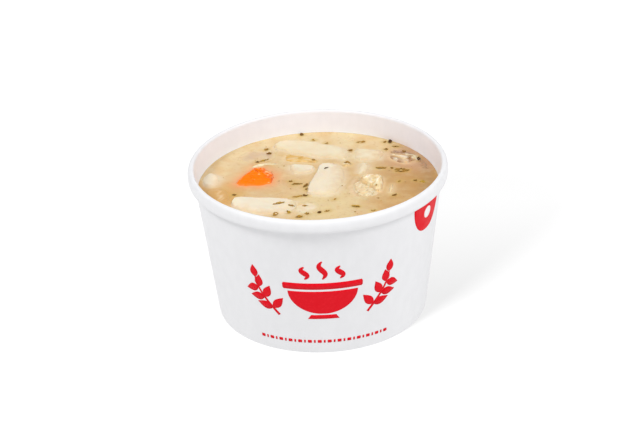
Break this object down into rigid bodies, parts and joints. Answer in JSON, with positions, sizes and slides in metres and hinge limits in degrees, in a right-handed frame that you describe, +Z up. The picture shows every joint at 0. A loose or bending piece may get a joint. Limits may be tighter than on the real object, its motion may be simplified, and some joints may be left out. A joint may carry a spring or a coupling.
{
  "type": "chicken noodle soup in a paper cup",
  "caption": "Chicken noodle soup with broad noodles, carrot and chicken, in a small round white paper cup with a rolled rim.",
  "frame": {"origin": "centre of the ring that the cup stands on, on the floor plane", "axes": "+Z up along the cup's axis, -Y towards the front of the cup, +X to its right seen from the front; the cup's seam is at +Y"},
  "size_m": [0.098, 0.098, 0.0594],
  "materials": {
    "cup_paper": "smooth white coated paper board with a soft satin sheen",
    "broth": "cloudy creamy golden broth, wet and glossy, standing in for a liquid",
    "noodle": "boiled wheat noodle, pale cream, wet and slightly see-through",
    "carrot": "boiled carrot, bright orange, wet",
    "chicken": "poached chicken, pale tan with fine fibres, moist",
    "print": "flat red ink printed on the coated paper",
    "herb": "dried green and brown herb flakes, wet"
  },
  "bodies": {
    "root": {"cup_wall": "cup_paper", "cup_base": "cup_paper", "soup": "broth", "noodle_back": "noodle", "noodle_right": "noodle", "noodle_small": "noodle", "noodle_centre": "noodle", "noodle_sliver": "noodle", "noodle_left": "noodle", "noodle_front": "noodle", "carrot": "carrot", "chicken_chunk": "chicken", "chicken_flake": "chicken", "chicken_strand": "chicken", "chicken_shreds": "chicken", "chicken_back": "chicken", "chicken_crumb": "chicken"}
  },
  "joints": []
}
